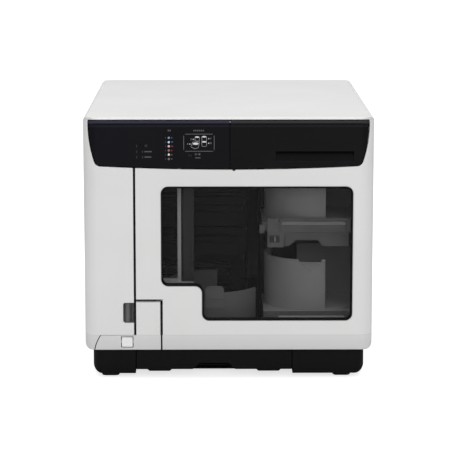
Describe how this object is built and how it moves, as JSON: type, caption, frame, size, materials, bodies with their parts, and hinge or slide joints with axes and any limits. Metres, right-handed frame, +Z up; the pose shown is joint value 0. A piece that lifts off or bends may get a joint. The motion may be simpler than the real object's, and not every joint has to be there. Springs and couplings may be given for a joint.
{
  "type": "disc label printer",
  "caption": "Desktop disc label printer: a hinged cover with a smoked window over disc stackers, drives and a printer, a lift-up ink cover, and a pull-out output tray.",
  "frame": {"origin": "centre of the footprint, on the plane the feet stand on", "axes": "+Z up, the front with the door faces -Y, +X is to the right seen from the front"},
  "size_m": [0.377, 0.493, 0.348],
  "materials": {
    "white_cover": "fine texture",
    "black_gloss": "gloss",
    "black_matte": "fine texture",
    "grey_plastic": "satin",
    "lamp": "clear lens",
    "window": "smoked, polished",
    "sheet_steel": "zinc-plated and dark-painted sheet",
    "steel": "ground",
    "aluminium": "satin",
    "rubber": "matte",
    "ink": "satin",
    "board": "coated circuit board"
  },
  "bodies": {
    "housing": {"base_pan": "black_matte", "feet": "rubber", "deck_plate": "sheet_steel", "left_frame": "sheet_steel", "right_frame": "sheet_steel", "upper_deck": "sheet_steel", "left_cover": "white_cover", "right_cover": "white_cover", "top_cover": "white_cover", "rear_cover": "white_cover", "control_panel": "black_gloss", "indicator_lamps": "lamp", "cartridge_cover_pins": "steel", "cartridge_bay": "black_matte", "ink_cartridges": "ink", "door_hinge_pins": "steel", "stacker_base": "black_matte", "stacker_shelf": "black_matte", "bay_rail": "aluminium", "bay_duct": "black_matte", "bay_wall": "sheet_steel", "drive_cage": "sheet_steel", "drive_1_case": "aluminium", "drive_2_case": "aluminium", "drive_bezels": "black_matte", "printer_frame": "black_matte", "carriage_rail": "steel", "arm_columns": "steel", "lift_belt": "rubber", "lift_motor": "steel", "idler_bracket": "sheet_steel", "fan_frame": "black_matte", "power_inlet": "black_matte", "usb_port": "steel", "power_supply": "aluminium", "main_board": "board"},
    "power_button": {"power_button": "black_gloss"},
    "mode_button": {"mode_button": "black_gloss"},
    "cartridge_cover": {"cartridge_cover": "black_gloss"},
    "disc_cover": {"disc_cover": "white_cover", "door_window": "window", "door_inner_frame": "black_matte"},
    "output_tray": {"output_tray": "black_matte", "tray_handle_cover": "white_cover"},
    "tray_release": {"tray_release": "white_cover"},
    "lock_lever": {"lock_lever": "grey_plastic"},
    "stacker_1": {"stacker_1": "grey_plastic"},
    "stacker_2": {"stacker_2": "grey_plastic"},
    "stacker_3": {"stacker_3": "black_matte"},
    "drive_1_tray": {"drive_1_tray": "black_matte"},
    "drive_2_tray": {"drive_2_tray": "black_matte"},
    "printer_tray": {"printer_tray": "black_matte"},
    "print_carriage": {"print_carriage": "grey_plastic"},
    "arm_lift": {"arm_carriage": "black_matte"},
    "disc_arm": {"disc_arm": "black_matte"},
    "gripper_jaw_left": {"gripper_jaw_left": "grey_plastic"},
    "gripper_jaw_right": {"gripper_jaw_right": "grey_plastic"},
    "lift_pulley": {"lift_pulley": "aluminium"},
    "lift_idler": {"lift_idler": "aluminium"},
    "fan_rotor": {"fan_rotor": "black_matte"}
  },
  "joints": [
    {"name": "door_hinge", "type": "hinge", "parent": "housing", "child": "disc_cover", "pos_m": [0.184, -0.228, 0.19], "axis": [0, 0, 1], "range_deg": [0, 100]},
    {"name": "cartridge_cover_hinge", "type": "hinge", "parent": "housing", "child": "cartridge_cover", "pos_m": [0.092, -0.243, 0.3419], "axis": [-1, 0, 0], "range_deg": [0, 85]},
    {"name": "output_tray_slide", "type": "slide", "parent": "housing", "child": "output_tray", "axis": [0, -1, 0], "range_m": [0, 0.15]},
    {"name": "tray_release_push", "type": "slide", "parent": "output_tray", "child": "tray_release", "axis": [0, 1, 0], "range_m": [0, 0.002], "stiffness_N_per_m": 300, "springref_m": -0.001},
    {"name": "lock_lever_turn", "type": "hinge", "parent": "housing", "child": "lock_lever", "pos_m": [-0.1326, -0.2396, 0.091], "axis": [0, 0, -1], "range_deg": [0, 20], "stiffness_Nm_per_rad": 0.05, "springref_deg": -5.73},
    {"name": "power_button_push", "type": "slide", "parent": "housing", "child": "power_button", "axis": [0, 1, 0], "range_m": [0, 0.0012], "stiffness_N_per_m": 400, "springref_m": -0.0005},
    {"name": "mode_button_push", "type": "slide", "parent": "housing", "child": "mode_button", "axis": [0, 1, 0], "range_m": [0, 0.0012], "stiffness_N_per_m": 400, "springref_m": -0.0005},
    {"name": "stacker_1_lift", "type": "slide", "parent": "housing", "child": "stacker_1", "axis": [0, 0, 1], "range_m": [0, 0.006]},
    {"name": "stacker_2_lift", "type": "slide", "parent": "housing", "child": "stacker_2", "axis": [0, 0, 1], "range_m": [0, 0.006]},
    {"name": "stacker_3_lift", "type": "slide", "parent": "housing", "child": "stacker_3", "axis": [0, 0, 1], "range_m": [0, 0.006]},
    {"name": "drive_1_tray_slide", "type": "slide", "parent": "housing", "child": "drive_1_tray", "axis": [0, -1, 0], "range_m": [0, 0.14]},
    {"name": "drive_2_tray_slide", "type": "slide", "parent": "housing", "child": "drive_2_tray", "axis": [0, -1, 0], "range_m": [0, 0.14]},
    {"name": "printer_tray_slide", "type": "slide", "parent": "housing", "child": "printer_tray", "axis": [0, -1, 0], "range_m": [0, 0.14]},
    {"name": "print_carriage_slide", "type": "slide", "parent": "housing", "child": "print_carriage", "axis": [-1, 0, 0], "range_m": [0, 0.09]},
    {"name": "arm_lift_slide", "type": "slide", "parent": "housing", "child": "arm_lift", "axis": [0, 0, -1], "range_m": [0, 0.21]},
    {"name": "arm_swing", "type": "hinge", "parent": "arm_lift", "child": "disc_arm", "pos_m": [0.0465, -0.071, 0.286], "axis": [0, 0, -1], "range_deg": [-77.2, 24]},
    {"name": "gripper_left", "type": "slide", "parent": "disc_arm", "child": "gripper_jaw_left", "axis": [0.7813, -0.6241, 0], "range_m": [0, 0.0015]},
    {"name": "gripper_right", "type": "slide", "parent": "disc_arm", "child": "gripper_jaw_right", "axis": [-0.7813, 0.6241, 0], "range_m": [0, 0.0015]},
    {"name": "lift_pulley_turn", "type": "hinge", "parent": "housing", "child": "lift_pulley", "pos_m": [0.0465, -0.03, 0.036], "axis": [1, 0, 0], "range_deg": [-10, 1900]},
    {"name": "lift_idler_turn", "type": "hinge", "parent": "housing", "child": "lift_idler", "pos_m": [0.0465, -0.03, 0.281], "axis": [1, 0, 0], "range_deg": [-10, 1900]},
    {"name": "fan_spin", "type": "hinge", "parent": "housing", "child": "fan_rotor", "pos_m": [0.09, 0.23, 0.2], "axis": [0, 1, 0], "continuous": true}
  ],
  "couplings": [
    {"joint": "lift_pulley_turn", "follows": "arm_lift_slide", "rad_per_m": 151.51},
    {"joint": "lift_idler_turn", "follows": "arm_lift_slide", "rad_per_m": 151.51},
    {"joint": "gripper_right", "follows": "gripper_left", "ratio": 1}
  ]
}
